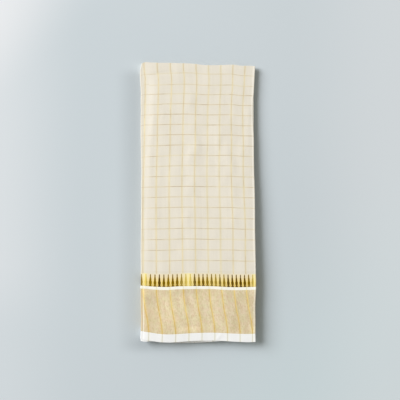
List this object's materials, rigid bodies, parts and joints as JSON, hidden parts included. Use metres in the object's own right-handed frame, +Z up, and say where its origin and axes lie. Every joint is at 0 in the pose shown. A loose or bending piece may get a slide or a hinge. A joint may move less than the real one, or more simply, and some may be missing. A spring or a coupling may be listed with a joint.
{
  "type": "folded dhoti",
  "caption": "Length of checked cotton with a woven temple border, folded flat into a long pad that lies on its underside.",
  "frame": {"origin": "middle of the pad's footprint, on the surface it lies on", "axes": "+X to the pad's right across the cloth's folded length, +Y from the hem with the borders to the top fold, +Z up from the surface"},
  "size_m": [0.2494, 0.5998, 0.0191],
  "materials": {
    "checked_cotton": "plain weave cotton in warm ivory with fine gold lines both ways, soft and slightly crisp",
    "temple_gold": "gold thread on cotton, dark where it faces up and bright where it tilts to the light",
    "white_cotton": "bleached plain weave cotton, matt",
    "gold_tissue": "cotton crossed with fine gold thread, soft metallic sheen",
    "cloth_edges": "the folded edges of the hidden panels, plain weave cotton"
  },
  "bodies": {
    "root": {"ground_leaf": "checked_cotton", "temple_band": "temple_gold", "white_stripe": "white_cotton", "tissue_band": "gold_tissue", "selvedge_band": "white_cotton", "inner_layers": "cloth_edges"}
  },
  "joints": []
}
